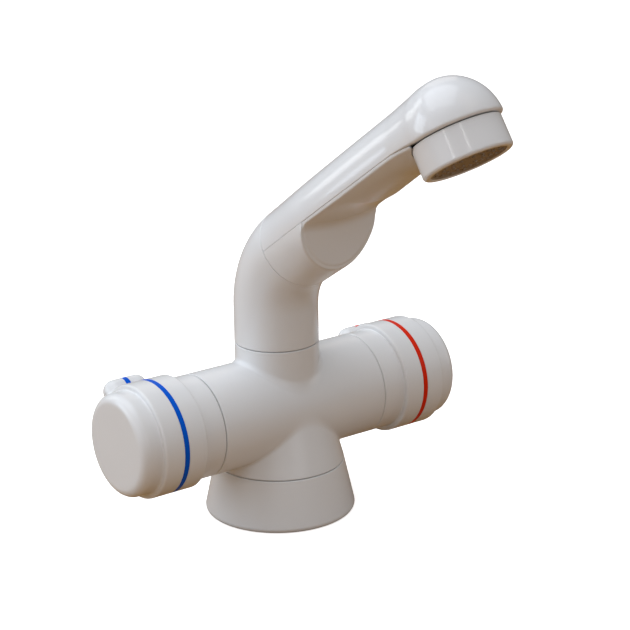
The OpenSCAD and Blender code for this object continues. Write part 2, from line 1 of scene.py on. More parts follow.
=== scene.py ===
"""Two-knob mixer tap with a pull-out spray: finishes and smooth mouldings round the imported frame."""

import math

import bpy
import numpy as np
from mathutils import Matrix, Vector
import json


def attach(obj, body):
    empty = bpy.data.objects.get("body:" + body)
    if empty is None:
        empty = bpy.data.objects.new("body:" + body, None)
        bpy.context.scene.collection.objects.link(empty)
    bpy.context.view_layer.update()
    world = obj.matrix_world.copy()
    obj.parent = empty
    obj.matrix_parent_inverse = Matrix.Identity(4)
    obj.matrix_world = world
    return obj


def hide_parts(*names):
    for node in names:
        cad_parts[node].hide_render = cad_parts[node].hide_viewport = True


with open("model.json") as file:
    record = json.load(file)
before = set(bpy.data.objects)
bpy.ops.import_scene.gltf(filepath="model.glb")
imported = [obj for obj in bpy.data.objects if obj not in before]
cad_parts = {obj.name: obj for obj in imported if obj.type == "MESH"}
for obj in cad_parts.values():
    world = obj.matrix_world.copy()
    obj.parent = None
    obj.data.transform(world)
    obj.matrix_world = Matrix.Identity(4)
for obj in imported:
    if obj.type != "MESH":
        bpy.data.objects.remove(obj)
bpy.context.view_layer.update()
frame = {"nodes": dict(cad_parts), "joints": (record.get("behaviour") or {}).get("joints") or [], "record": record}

# Sizes, in millimetres. The object's own frame has its origin on the worktop.
MM = 0.001

# Foot, cone, barrel and neck.
BASE_R = 30.0
BASE_H = 20.8
SEAM_R = 25.9
FOOT_ROUND = 1.8
FLANGE_TAPER = (BASE_R - SEAM_R) / (BASE_H - FOOT_ROUND)
FLANGE_TOP = BASE_H - 0.35
FLANGE_EDGE = 0.45
FLANGE_HOLE_R = 17.5
FLANGE_HOLLOW_R = SEAM_R - 2.2
BODY_TAPER = 0.275
BARREL_R = 20.3
BARREL_Z = 43.4
BARREL_HALF = 38.2
NECK_Z = 70.2
CONE_BLEND = 1.0
NECK_FILLET = 1.8
CHAMBER_R = 12.4
CHAMBER_IN = 16.5
BUSH_R = 14.3
GUIDE_Z = 46.0
BORE_EDGE = 0.3
BODY_CELL = 1.2

# Knobs, measured outwards from the barrel's end.
BAND_R = 22.3
BAND_START = 9.9
BAND_END = 28.8
BAND_EDGE = 0.9
BAND_FILLET = 0.35
RING_MID = 19.4
RING_W = 2.1
RING_IN = RING_MID - RING_W / 2
RING_OUT = RING_MID + RING_W / 2
RING_CLEAR = 0.02
RING_EDGE = 0.1
COLLAR_EDGE = 0.6
SLICE_EDGE = 0.12
KNOB_LEN = 37.3
KNOB_HOLLOW_R = 17.5
KNOB_HOLLOW_END = KNOB_LEN - 3.4
END_R = 20.2
END_ROUND = 3.8
END_FILLET = 0.7
LUG_TOP = 29.4
LUG_R = 4.4
LUG_ANGLE = {"cold": 33.0, "hot": 24.0}
LUG_MID = (BAND_START + BAND_END) / 2
LUG_HALF = (BAND_END - BAND_START - 0.4) / 2 - LUG_R
LUG_FILLET = 1.0
KNOB_CELL = 1.4
RING_CELL = 0.9

# Elbow.
TUBE_R = 16.6
TUBE_WALL = 3.0
BEND_Z = 84.9
BEND_R = 32.1
SPIGOT_R = 13.2
SPIGOT_LOW = 50.6
SPIGOT_HIGH = NECK_Z + 3
SPIGOT_EDGE = 0.4
HOSE_R = 10.8
HOSE_TOP = 74.0

# Handset, measured from the dock along its tube (n), across it (s) and over its axis (h).
REACH = 102.3
DOCK_END = 0.15
DOCK_EDGE = 0.25
PART_H = 1.5
PART_SLOPE = 1.0
PART_DROP = 0.6
PART_GAP = 0.02
PART_EDGE = 0.2
RIM_EDGE = 1.2
RIM_START = 80.0
HANDLE_WIDER = 0.14
NARROW_START = 34.0
NARROW_END = 90.0
SHELL_T = 2.4
SHELL_EDGE = 0.2

# Where the tube runs into the dome: it sinks and the blend between the two shrinks.
SINK_START = 95.0
SINK = 0.012
TUBE_PAST = 8.0
BLEND_START = 84.0
BLEND_END = 98.0
BLEND_LAST = BLEND_END + 7
BLEND_TUBE = 7.5
BLEND_FALL = 5.0
BLEND_LAST_FALL = 1.5
UPPER_CELL = 1.5

# Lower shell: sleeve, slanted face, ramp and keel.
SLEEVE_LEN = 30.0
SLEEVE_FLARE = 0.04
FLARE_DEPTH = 9.0
FACE_FILLET = 2.4
INSET = 0.12
RAMP_START = 28.0
RAMP_END = 52.0
RAMP_TOP = 0.8
RAMP_SAG = 1.5
KEEL_START = 40.0
KEEL_RUN = 45.0
KEEL_DEPTH = 5.3
KEEL_GAIN = 0.8
KEEL_SIDE = 1.3
KEEL_SIDE_GAIN = 0.3
KEEL_EDGE = 0.35
KEEL_EDGE_GAIN = 0.75
LOWER_HOLLOW_START = SLEEVE_LEN - 14
LOWER_PART_EDGE = 0.08
LOWER_CELL = 0.9

# Head, measured down the spray axis from the groove under the dome.
HEAD_DROP = 2.6
HEAD_TILT = 4.2
DOME_R = 18.2
DOME_H = 19.6
DOME_WALL = 3.0
GROOVE = 0.35
RING_LEN = 12.4
RING_STEP = 4.4
MOUTH_R = 16.9
MOUTH_CLEAR = 0.12
MOUTH_EDGE = 0.15
THROAT_R = 12.4
FACE_R = 14.2
FACE_UP = 1.0
LIP_UP = 0.25
PLATE_T = 2.6
NOZZLE_LEN = 0.55
NOZZLE_ROWS = ((12.2, 16), (9.2, 12), (6.0, 8))

SEAM_GAP = 0.3
SEAM_ROUND = 0.35


def joint(name):
    return next(j for j in frame["joints"] if j["name"] == name)


# Frames, in millimetres: the spout turned by its swing, the handset along its pull axis, the head.
pull = Vector(joint("handset_pull")["axis"]).normalized()
SWING = math.atan2(pull.x, -pull.y)
TURN = math.pi / 2 - math.asin(pull.z)
DOCK_U = BEND_R * (1 - math.cos(TURN))
DOCK_W = BEND_Z + BEND_R * math.sin(TURN)
SPOUT = Matrix.Rotation(SWING, 4, "Z")
HANDSET = SPOUT @ Matrix.Translation((0, -DOCK_U, DOCK_W)) @ Matrix.Rotation(TURN, 4, "X")
HEAD_TURN = math.radians(HEAD_TILT - 90)
HEAD_IN_HANDSET = Matrix.Translation((0, -HEAD_DROP, REACH)) @ Matrix.Rotation(HEAD_TURN, 4, "X")
HEAD = HANDSET @ HEAD_IN_HANDSET
KNOB = {
    "hot": Matrix.Translation((BARREL_HALF, 0, BARREL_Z)),
    "cold": Matrix.Translation((-BARREL_HALF, 0, BARREL_Z)) @ Matrix.Scale(-1, 4, (1, 0, 0)),
}


# Fields: a function of points that is below zero inside the solid.

def union(a, b, r):
    """Two solids joined with a fillet of radius r."""
    u = np.maximum(r - a, 0)
    v = np.maximum(r - b, 0)
    return np.maximum(r, np.minimum(a, b)) - np.hypot(u, v)


def meet(a, b, r):
    """What two solids share, with its edge rounded to radius r."""
    u = np.maximum(r + a, 0)
    v = np.maximum(r + b, 0)
    return np.minimum(-r, np.maximum(a, b)) + np.hypot(u, v)


def soft_union(a, b, k):
    """Two solids whose surfaces run nearly together, joined without a swelling over k / 4."""
    near = np.maximum(k - np.abs(a - b), 0) / k
    return np.minimum(a, b) - near ** 2 * k / 4


def cut(a, b, r):
    """The first solid without the second."""
    return meet(a, -b, r)


def slab(value, low, high):
    """The space between two planes."""
    return np.maximum(low - value, value - high)


def ease(value, low, high):
    """Nought up to low, one from high, and a smooth step between."""
    t = np.clip((value - low) / (high - low), 0, 1)
    return t * t * (3 - 2 * t)


def to_local(points, matrix):
    """Points given in an outer frame, in the inner frame that the matrix places."""
    m = np.array(matrix.inverted())
    return points @ m[:3, :3].T + m[:3, 3]


# Meshing of a field: a coarse net of its surface, settled on it and split where it curves.

COARSE = 1.7
SHORTEST = 0.13
TURN_LIMIT = math.cos(math.radians(13))
CHORD_LIMIT = 0.02
SPLIT_ROUNDS = 5
SLOPE_STEP = 0.003
SETTLE_SHARE = 0.6
TINY = 1e-9


def net(field, low, high, cell):
    """Points and triangles of a coarse net round the field's surface."""
    axes = [np.arange(low[k] - 1.37 * cell, high[k] + 2 * cell, cell) for k in range(3)]
    origin = np.array([a[0] for a in axes])
    shape = tuple(len(a) for a in axes)
    lattice = np.stack(np.meshgrid(*axes, indexing="ij"), -1).reshape(-1, 3)
    values = field(lattice).reshape(shape)
    inside = values < 0
    cells = np.array(shape) - 1
    total = np.zeros((int(np.prod(cells)), 3))
    count = np.zeros(len(total))
    quads = []
    for k in range(3):
        b, c = (k + 1) % 3, (k + 2) % 3
        near = tuple(slice(0, -1) if i == k else slice(None) for i in range(3))
        far = tuple(slice(1, None) if i == k else slice(None) for i in range(3))
        crossed = inside[near] != inside[far]
        index = np.argwhere(crossed)
        start, end = values[near][crossed], values[far][crossed]
        spot = origin + index * cell
        spot[:, k] += cell * start / (start - end)
        ring = []
        for step_b, step_c in ((0, 0), (1, 0), (1, 1), (0, 1)):
            place = index.copy()
            place[:, b] -= step_b
            place[:, c] -= step_c
            flat = np.ravel_multi_index(place.T, cells)
            np.add.at(total, flat, spot)
            np.add.at(count, flat, 1)
            ring.append(flat)
        quad = np.stack(ring, 1)
        turned = start > 0
        quad[turned] = quad[turned][:, ::-1]
        quads.append(quad)
    used = np.flatnonzero(count)
    number = np.full(len(total), -1)
    number[used] = np.arange(len(used))
    points = total[used] / count[used][:, None]
    return points, triangles(points, number[np.concatenate(quads)])


def triangles(points, quads):
    """Each quad split along its shorter diagonal."""
    corner = points[quads]
    short = (np.linalg.norm(corner[:, 0] - corner[:, 2], axis=1)
             <= np.linalg.norm(corner[:, 1] - corner[:, 3], axis=1))
    a, b = quads[short], quads[~short]
    return np.concatenate([a[:, [0, 1, 2]], a[:, [0, 2, 3]], b[:, [0, 1, 3]], b[:, [1, 2, 3]]])


def slope(field, points):
    """How the field rises along each axis."""
    columns = []
    for k in range(3):
        shift = np.zeros(3)
        shift[k] = SLOPE_STEP
        columns.append((field(points + shift) - field(points - shift)) / (2 * SLOPE_STEP))
    return np.stack(columns, 1)


def normals_of(field, points):
    rise = slope(field, points)
    return rise / np.maximum(np.linalg.norm(rise, axis=1), TINY)[:, None]


def settle(field, points, rounds, reach):
    """Points moved onto the field's surface, by at most reach a round."""
    for _ in range(rounds):
        rise = slope(field, points)
        move = rise * (field(points) / np.maximum((rise ** 2).sum(1), 0.05))[:, None]
        length = np.linalg.norm(move, axis=1)
        move *= np.minimum(1, reach / np.maximum(length, TINY))[:, None]
        points = points - move
    return points


def edges_of(faces):
    """Unique edges, and each face's three edge numbers."""
    sides = np.sort(np.concatenate([faces[:, [0, 1]], faces[:, [1, 2]], faces[:, [2, 0]]]), 1)
    edges, back = np.unique(sides, axis=0, return_inverse=True)
    return edges, back.reshape(3, -1).T


def relax(field, points, faces, rounds):
    """Points evened out along the surface."""
    edges, _ = edges_of(faces)
    for _ in range(rounds):
        total = np.zeros_like(points)
        count = np.zeros(len(points))
        for a, b in ((0, 1), (1, 0)):
            np.add.at(total, edges[:, a], points[edges[:, b]])
            np.add.at(count, edges[:, a], 1)
        middle = total / count[:, None]
        points = settle(field, points + SETTLE_SHARE * (middle - points), 2, COARSE / 2)
    return points


def split(faces, sides, marked, first_new):
    """Faces with their marked edges halved, so that neighbours still share every edge."""
    new = np.full(len(marked), -1)
    new[marked] = first_new + np.arange(int(marked.sum()))
    mid = new[sides]
    hits = (mid >= 0).sum(1)
    out = [faces[hits == 0]]
    for wanted in (1, 2):
        for turn in range(3):
            order = [(turn + i) % 3 for i in range(3)]
            hit = mid[:, order] >= 0
            second = hit[:, 1] if wanted == 2 else ~hit[:, 1]
            chosen = hit[:, 0] & second & ~hit[:, 2]
            a, b, c = faces[chosen][:, order].T
            ab, bc, _ = mid[chosen][:, order].T
            if wanted == 1:
                out += [np.stack(t, 1) for t in ((a, ab, c), (ab, b, c))]
            else:
                out += [np.stack(t, 1) for t in ((ab, b, bc), (a, ab, bc), (a, bc, c))]
    a, b, c = faces[hits == 3].T
    ab, bc, ca = mid[hits == 3].T
    out += [np.stack(t, 1) for t in ((a, ab, ca), (ab, b, bc), (ca, bc, c), (ab, bc, ca))]
    return np.concatenate(out)


def refine(field, points, faces, rounds):
    """Edges are halved where the surface turns along them or leaves their chord."""
    for _ in range(rounds):
        normal = normals_of(field, points)
        edges, sides = edges_of(faces)
        a, b = edges.T
        middle = (points[a] + points[b]) / 2
        length = np.linalg.norm(points[a] - points[b], axis=1)
        bent = (normal[a] * normal[b]).sum(1) < TURN_LIMIT
        away = np.abs(field(middle)) > CHORD_LIMIT
        marked = (bent | away) & (length > 2 * SHORTEST)
        if not marked.any():
            break
        faces = split(faces, sides, marked, len(points))
        fresh = settle(field, middle[marked], 3, COARSE / 2)
        points = np.concatenate([points, fresh])
    return points, faces


def mesh_object(name, points, faces, normals, matrix):
    """A smooth-shaded object from points in a local frame of millimetres."""
    m = np.array(matrix)
    world = (points @ m[:3, :3].T + m[:3, 3]) * MM
    facing = normals @ m[:3, :3].T
    if np.linalg.det(m[:3, :3]) < 0:
        faces = faces[:, ::-1]
    mesh = bpy.data.meshes.new(name)
    mesh.from_pydata(world.tolist(), [], faces.tolist())
    mesh.validate()
    mesh.shade_smooth()
    mesh.normals_split_custom_set_from_vertices(facing.tolist())
    made = bpy.data.objects.new(name, mesh)
    bpy.context.scene.collection.objects.link(made)
    return made


def solid(name, field, low, high, matrix, cell):
    """The mesh of a field inside the box from low to high."""
    points, faces = net(field, low, high, cell)
    points = settle(field, points, 4, cell)
    points = relax(field, points, faces, 3)
    points, faces = refine(field, points, faces, SPLIT_ROUNDS)
    points = settle(field, points, 2, 0.05)
    return mesh_object(name, points, faces, normals_of(field, points), matrix)


# Lathe work: a closed outline of (radius, height, corner radius), turned round the local Z axis.

LATHE_STEPS = 192
PLATE_STEPS = 96
NOZZLE_STEPS = 16
ARC_DEGREES = 12


def rounded(outline):
    """Points and normals of a closed outline whose corners are arcs."""
    spots, normals = [], []
    for i, (x, y, r) in enumerate(outline):
        here = np.array([x, y])
        before = np.array(outline[i - 1][:2]) - here
        after = np.array(outline[(i + 1) % len(outline)][:2]) - here
        before /= np.linalg.norm(before)
        after /= np.linalg.norm(after)
        bend = math.pi - math.acos(np.clip(before @ after, -1, 1))
        out = np.array([-before[1], before[0]])
        side = 1 if before[0] * after[1] < before[1] * after[0] else -1
        centre = here + before * r * math.tan(bend / 2) - side * out * r
        steps = max(2, math.ceil(math.degrees(bend) / ARC_DEGREES))
        for k in range(steps + 1):
            c, s = math.cos(bend * k / steps), side * math.sin(bend * k / steps)
            normal = np.array([c * out[0] - s * out[1], s * out[0] + c * out[1]])
            spots.append(centre + side * normal * r)
            normals.append(normal)
    return np.array(spots), np.array(normals)


def turned(outline, steps):
    """Points, normals and faces. The outline runs anticlockwise, radius to the right and height up."""
    spots, normals = rounded(outline)
    turn = np.arange(steps) * 2 * math.pi / steps
    c, s = np.cos(turn)[:, None], np.sin(turn)[:, None]
    height = np.ones((steps, 1))
    points = np.stack([c * spots[:, 0], s * spots[:, 0], height * spots[:, 1]], -1).reshape(-1, 3)
    facing = np.stack([c * normals[:, 0], s * normals[:, 0], height * normals[:, 1]], -1).reshape(-1, 3)
    n = len(spots)
    i, k = np.meshgrid(np.arange(steps), np.arange(n), indexing="ij")
    i_next, k_next = (i + 1) % steps, (k + 1) % n
    faces = np.stack([i * n + k, i_next * n + k, i_next * n + k_next, i * n + k_next], -1)
    return points, facing, faces.reshape(-1, 4)


def lathe(name, outline, matrix):
    points, facing, faces = turned(outline, LATHE_STEPS)
    return mesh_object(name, points, faces, facing, matrix)


# The mouldings.

def body_field(p):
    """Cone, barrel and neck stub, with the two valve chambers and the throat for the elbow."""
    x, y, z = p.T
    upright = np.hypot(x, y)
    cone = (upright - SEAM_R + BODY_TAPER * (z - BASE_H)) / math.hypot(1, BODY_TAPER)
    cone = np.maximum(cone, z - BARREL_Z)
    barrel = np.hypot(y, z - BARREL_Z) - BARREL_R
    neck = np.maximum(upright - TUBE_R, BARREL_Z - z)
    shape = union(soft_union(barrel, cone, CONE_BLEND), neck, NECK_FILLET)
    shape = meet(shape, np.abs(x) - BARREL_HALF, SEAM_ROUND)
    shape = meet(shape, BASE_H - z, SEAM_ROUND)
    shape = meet(shape, z - NECK_Z, SEAM_ROUND)
    chamber = np.maximum(np.hypot(y, z - BARREL_Z) - CHAMBER_R, CHAMBER_IN - np.abs(x))
    throat = np.maximum(upright - BUSH_R, GUIDE_Z - z)
    shape = cut(shape, chamber, BORE_EDGE)
    return cut(shape, throat, BORE_EDGE)


def make_body():
    low = (-BARREL_HALF, -SEAM_R, BASE_H)
    high = (BARREL_HALF, SEAM_R, NECK_Z)
    return solid("body_moulding", body_field, low, high, Matrix(), BODY_CELL)


def make_flange():
    """The flared foot, hollow below, with its seam to the body at the top."""
    foot_r = SEAM_R + FLANGE_TAPER * BASE_H - 0.02
    return lathe("flange_moulding", [
        (FLANGE_HOLLOW_R, 0, 0.3), (foot_r, 0, FOOT_ROUND), (SEAM_R + 0.04, FLANGE_TOP, FLANGE_EDGE),
        (FLANGE_HOLE_R, FLANGE_TOP, 0.3), (FLANGE_HOLE_R, 12, 0.3), (FLANGE_HOLLOW_R, 9, 0.6)],
        Matrix())


def knob_field(p, side, low, high, edge_low, edge_high):
    """The slice of a knob from low to high along its axis, which runs out along +X."""
    a, q, h = p.T
    rho = np.hypot(q, h)
    band = meet(rho - BAND_R, slab(a, BAND_START, BAND_END), BAND_EDGE)
    core = rho - BARREL_R
    end = meet(rho - END_R, a - KNOB_LEN, END_ROUND)
    shape = union(np.maximum(core, a - RING_MID), band, BAND_FILLET)
    shape = union(shape, np.maximum(end, RING_MID - a), END_FILLET)
    angle = math.radians(LUG_ANGLE[side])
    t = q * math.cos(angle) + h * math.sin(angle)
    s = -q * math.sin(angle) + h * math.cos(angle)
    along = np.maximum(np.abs(a - LUG_MID) - LUG_HALF, 0)
    lug = np.sqrt(along ** 2 + s ** 2 + np.maximum(t - (LUG_TOP - LUG_R), 0) ** 2) - LUG_R
    lug = np.maximum(lug, -t)
    shape = union(shape, lug, LUG_FILLET)
    shape = meet(shape, low - a, edge_low)
    shape = meet(shape, a - high, edge_high) if high < KNOB_LEN else shape
    hollow = np.maximum(rho - KNOB_HOLLOW_R, a - KNOB_HOLLOW_END)
    return cut(shape, hollow, BORE_EDGE)


def make_knob(side):
    """Collar, index ring and cap: each a slice with its start, end, edges there and mesh cell."""
    slices = {
        "collar": (SEAM_GAP, RING_IN, COLLAR_EDGE, SLICE_EDGE, KNOB_CELL),
        "ring": (RING_IN + RING_CLEAR, RING_OUT - RING_CLEAR, RING_EDGE, RING_EDGE, RING_CELL),
        "cap": (RING_OUT, KNOB_LEN, SLICE_EDGE, SLICE_EDGE, KNOB_CELL),
    }
    made = {}
    for part, (low, high, edge_low, edge_high, cell) in slices.items():
        made[part] = solid(
            f"{side}_{part}_moulding",
            lambda p: knob_field(p, side, low, high, edge_low, edge_high),
            (low, -BAND_R, -BAND_R), (high, LUG_TOP, LUG_TOP), KNOB[side], cell)
    return made


def elbow_line(p):
    """Distance from the spout's centre line."""
    x, y, z = p.T
    across = np.where(z < BEND_Z, y, np.hypot(y + BEND_R, z - BEND_Z) - BEND_R)
    return np.hypot(x, across)


def elbow_field(p):
    """The bent tube, cut square at the dock, and the spigot that turns in the neck."""
    x, y, z = p.T
    line = elbow_line(p)
    along = -(y + DOCK_U) * math.sin(TURN) + (z - DOCK_W) * math.cos(TURN)
    shape = meet(line - TUBE_R, NECK_Z + SEAM_GAP - z, SEAM_ROUND)
    shape = meet(shape, along, DOCK_EDGE)
    spigot = meet(np.hypot(x, y) - SPIGOT_R, slab(z, SPIGOT_LOW, SPIGOT_HIGH), SPIGOT_EDGE)
    shape = np.minimum(shape, spigot)
    bore = line - np.where(z < HOSE_TOP, HOSE_R, TUBE_R - TUBE_WALL)
    return cut(shape, bore, BORE_EDGE)


def make_elbow():
    return solid("elbow_moulding", elbow_field, (-TUBE_R, -DOCK_U - TUBE_R, SPIGOT_LOW),
                 (TUBE_R, TUBE_R, DOCK_W + TUBE_R), SPOUT, COARSE)


def wider(n):
    """Share of the handle's extra width at n: none at the dock, all of it at the sleeve's end."""
    return ease(n, 0, SLEEVE_LEN) * (1 - ease(n, NARROW_START, NARROW_END))


def parting(n):
    """Height of the parting line over the handset's axis; at the head it becomes the dome's rim."""
    line = PART_H - math.tan(math.radians(PART_SLOPE)) * n - PART_DROP * wider(n)
    rim = -HEAD_DROP - math.tan(math.radians(HEAD_TILT)) * (n - REACH)
    t = ease(n, RIM_START, REACH)
    return line * (1 - t) + rim * t


def head_parts(p):
    """Radius round the spray axis, and height over the groove."""
    local = to_local(p, HEAD_IN_HANDSET)
    return np.hypot(local[:, 0], local[:, 1]), local[:, 2]


def dome_field(p, grow):
    """A half-ball, a little higher than wide, over the groove."""
    radius, height = head_parts(p)
    r, h = DOME_R + grow, DOME_H + grow
    return (np.sqrt((radius / r) ** 2 + (height / h) ** 2) - 1) * min(r, h)


def upper_field(p):
    """Tube and dome above the parting line, hollow inside."""
    s, h, n = p.T
    rho = np.hypot(s / (1 + HANDLE_WIDER * wider(n)), h)
    sunk = SINK * np.maximum(n - SINK_START, 0) ** 2
    tube = np.maximum(rho - TUBE_R + sunk, n - REACH - TUBE_PAST)
    blend = (BLEND_TUBE - BLEND_FALL * ease(n, BLEND_START, BLEND_END)
             - BLEND_LAST_FALL * ease(n, BLEND_END, BLEND_LAST))
    outer = soft_union(tube, dome_field(p, 0), blend)
    outer = meet(outer, DOCK_END - n, DOCK_EDGE)
    edge = PART_EDGE + (RIM_EDGE - PART_EDGE) * ease(n, RIM_START, REACH)
    shape = meet(outer, parting(n) + PART_GAP - h, edge)
    inner = np.maximum(rho - (TUBE_R - SHELL_T), n - REACH + 4)
    inner = np.minimum(inner, dome_field(p, -DOME_WALL))
    return cut(shape, inner, SHELL_EDGE)


def make_upper():
    low = (-DOME_R - 2, -5, 0)
    high = (DOME_R + 2, DOME_H + 1, REACH + DOME_R + 1)
    return solid("upper_shell_moulding", upper_field, low, high, HANDSET, UPPER_CELL)


def keel_height(s, n):
    """Height of the handle's underside, with the ramp that leads to it from the sleeve."""
    share = np.clip((n - KEEL_START) / KEEL_RUN, 0, 1)
    depth = KEEL_DEPTH + KEEL_GAIN * share
    rise = depth + parting(n) - KEEL_SIDE + KEEL_SIDE_GAIN * share
    arc = (rise ** 2 + TUBE_R ** 2) / (2 * rise)
    keel = arc - depth - np.sqrt(np.maximum(arc ** 2 - s ** 2, 1))
    start = -RAMP_TOP - RAMP_SAG * (1 - np.minimum(np.abs(s) / TUBE_R, 1) ** 2)
    t = np.clip((n - RAMP_START) / (RAMP_END - RAMP_START), 0, 1)
    return keel * t + start * (1 - t)


def sleeve_field(s, h, n):
    """Flush with the upper shell at the parting line, and widening from the dock below it."""
    return np.hypot(s, h) - TUBE_R - SLEEVE_FLARE * n * ease(PART_H - h, 0, FLARE_DEPTH)


def lower_field(p):
    """Sleeve up to the slanted face, then ramp and keel, below the parting line."""
    s, h, n = p.T
    s = s / (1 + HANDLE_WIDER * wider(n))
    rise = math.pi / 2 - TURN
    face = (n - SLEEVE_LEN) * math.cos(rise) - h * math.sin(rise)
    rho = np.hypot(s, h)
    outer = np.minimum(rho - TUBE_R + INSET, np.maximum(sleeve_field(s, h, n), face))
    under = union(face, keel_height(s, n) - h, FACE_FILLET)
    shape = meet(outer, under, KEEL_EDGE + KEEL_EDGE_GAIN * ease(-h, 1.0, 4.0))
    radius, _ = head_parts(p)
    shape = cut(shape, radius - MOUTH_R - MOUTH_CLEAR, MOUTH_EDGE)
    shape = np.maximum(shape, n - REACH)
    shape = meet(shape, h - parting(n), LOWER_PART_EDGE)
    shape = meet(shape, DOCK_END - n, DOCK_EDGE)
    inner = np.maximum(rho - (TUBE_R - SHELL_T), n - LOWER_HOLLOW_START)
    return cut(shape, inner, SHELL_EDGE)


def make_lower():
    wide = (TUBE_R + SLEEVE_FLARE * SLEEVE_LEN) * (1 + HANDLE_WIDER) + 0.5
    low = (-wide, -wide, 0)
    high = (wide, 3, REACH)
    return solid("lower_shell_moulding", lower_field, low, high, HANDSET, LOWER_CELL)


def make_spray_ring():
    """The ring below the groove: an inner step carries the plate, and the mouth's edge is round."""
    low = -RING_LEN
    step = low + RING_STEP
    return lathe("spray_ring_moulding", [
        (THROAT_R, step, 0.2), (FACE_R, step, 0.2), (FACE_R, low, 0.6), (MOUTH_R, low, 1.3),
        (MOUTH_R - 0.1, -GROOVE, 0.4), (THROAT_R, -GROOVE, 0.3)], HEAD)


def make_spray_face():
    """The recessed plate inside the ring, with its rows of small nozzles."""
    floor = -RING_LEN + FACE_UP
    lip = -RING_LEN + LIP_UP
    back = floor + PLATE_T
    tip = floor - NOZZLE_LEN
    root = floor + 0.1
    plate = [(0.01, floor, 0), (FACE_R - 1.1, floor, 0.3), (FACE_R - 0.6, lip, 0.2),
             (FACE_R - 0.05, lip, 0.1), (FACE_R - 0.05, back, 0.2), (0.01, back, 0)]
    nozzle = [(0.2, tip, 0.05), (0.62, tip, 0.15), (0.85, root, 0.02), (0.2, root, 0.02)]
    pieces = [turned(plate, PLATE_STEPS)]
    points, facing, faces = turned(nozzle, NOZZLE_STEPS)
    for radius, count in NOZZLE_ROWS:
        for k in range(count):
            angle = 2 * math.pi * (k + 0.5) / count
            shift = np.array([radius * math.cos(angle), radius * math.sin(angle), 0])
            pieces.append((points + shift, facing, faces))
    starts = np.cumsum([0] + [len(piece[0]) for piece in pieces])
    return mesh_object(
        "spray_face", np.concatenate([piece[0] for piece in pieces]),
        np.concatenate([piece[2] + start for piece, start in zip(pieces, starts)]),
        np.concatenate([piece[1] for piece in pieces]), HEAD)


def make_gasket():
    """The dark ring in the groove."""
    outer = DOME_R - 2.6
    return lathe("groove_gasket", [(8, -0.3, 0.05), (outer, -0.3, 0.1), (outer, -0.02, 0.1),
                                   (8, -0.02, 0.05)], HEAD)


# Materials.

def new_material(name):
    material = bpy.data.materials.new(name)
    material.use_nodes = True
    tree = material.node_tree
    return material, tree, tree.nodes["Principled BSDF"]


def noise(tree, scale, detail):
    where = tree.nodes.new("ShaderNodeTexCoord")
    made = tree.nodes.new("ShaderNodeTexNoise")
    made.inputs["Scale"].default_value = scale
    made.inputs["Detail"].default_value = detail
    tree.links.new(where.outputs["Object"], made.inputs["Vector"])
    return made.outputs["Fac"]


def ramp(tree, value, stops):
    """A value or colour picked by another value, from (place, colour) stops."""
    made = tree.nodes.new("ShaderNodeValToRGB")
    items = made.color_ramp.elements
    while len(items) < len(stops):
        items.new(0.5)
    for item, (place, colour) in zip(items, stops):
        item.position = place
        item.color = (*colour, 1)
    tree.links.new(value, made.inputs["Fac"])
    return made.outputs["Color"]


def bump(tree, value, strength, distance, shader):
    made = tree.nodes.new("ShaderNodeBump")
    made.inputs["Strength"].default_value = strength
    made.inputs["Distance"].default_value = distance
    tree.links.new(value, made.inputs["Height"])
    tree.links.new(made.outputs["Normal"], shader.inputs["Normal"])


def mottle(tree, shader, colour, darker, scale, detail, start):
    """Base colour between the given one and a darker one, in soft patches."""
    dark = [c * (1 - darker) for c in colour]
    stops = [(start, dark), (1 - start, colour)]
    tree.links.new(ramp(tree, noise(tree, scale, detail), stops), shader.inputs["Base Color"])


def uneven(tree, shader, rough, least, most, scale, detail):
    """Roughness between two shares of the given one."""
    stops = [(0.3, [rough * least] * 3), (0.7, [rough * most] * 3)]
    tree.links.new(ramp(tree, noise(tree, scale, detail), stops), shader.inputs["Roughness"])


GRAIN_DEPTH = 0.0002
PLASTIC_IOR = 1.49


def plastic(name, colour, rough, spread=0.006, grain=0.02, shine=0.5):
    """Moulded plastic: faint mottling, uneven gloss and a fine mould grain."""
    material, tree, shader = new_material(name)
    mottle(tree, shader, colour, spread, 60, 3, 0.35)
    uneven(tree, shader, rough, 0.985, 1.02, 140, 4)
    shader.inputs["IOR"].default_value = PLASTIC_IOR
    shader.inputs["Specular IOR Level"].default_value = shine
    bump(tree, noise(tree, 900, 2), grain, GRAIN_DEPTH, shader)
    return material


def metal(name, colour, rough):
    """Turned or drawn metal with fine tool marks."""
    material, tree, shader = new_material(name)
    shader.inputs["Metallic"].default_value = 1.0
    mottle(tree, shader, colour, 0.14, 90, 4, 0.3)
    uneven(tree, shader, rough, 0.7, 1.3, 400, 3)
    bump(tree, noise(tree, 1500, 2), 0.08, GRAIN_DEPTH, shader)
    return material


